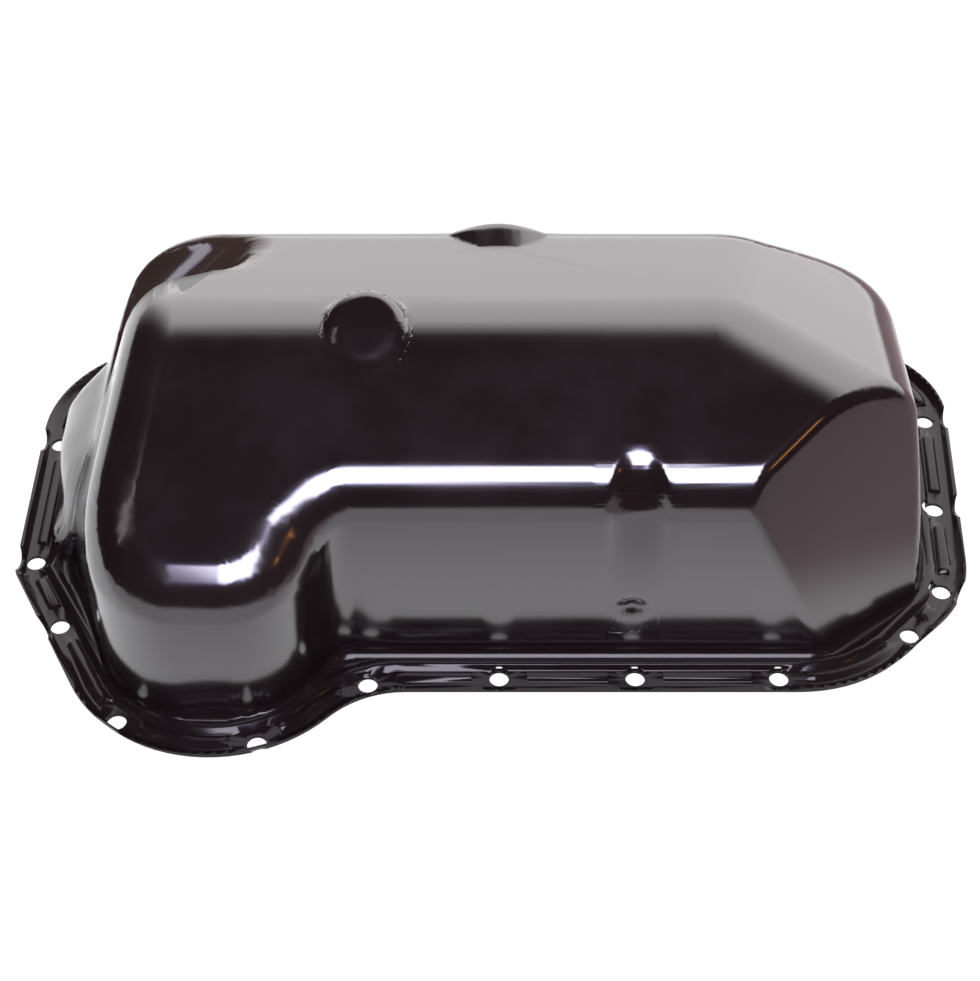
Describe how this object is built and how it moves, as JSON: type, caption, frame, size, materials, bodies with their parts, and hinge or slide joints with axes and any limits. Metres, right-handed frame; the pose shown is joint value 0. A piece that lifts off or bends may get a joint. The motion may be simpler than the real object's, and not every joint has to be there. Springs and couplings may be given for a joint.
{
  "type": "engine oil pan",
  "caption": "Pressed steel engine oil pan with a sloped sump, a rounded side lobe, a ribbed screw flange with a turned rim, and a drain plug.",
  "frame": {"origin": "centre of the bounding box in plan, on the gasket face", "axes": "+X along the engine, +Z away from the engine block towards the bottom of the sump, +Y across, away from the side lobe; gasket face down"},
  "size_m": [0.4326, 0.2576, 0.1283],
  "materials": {
    "pan_paint": "gloss black paint on pressed steel",
    "washer_metal": "soft aluminium sealing washer",
    "plug_metal": "zinc-plated steel",
    "nut_metal": "welded steel, dull"
  },
  "bodies": {
    "root": {"pan_shell": "pan_paint", "drain_washer": "washer_metal", "drain_plug": "plug_metal", "drain_nut": "nut_metal"}
  },
  "joints": []
}
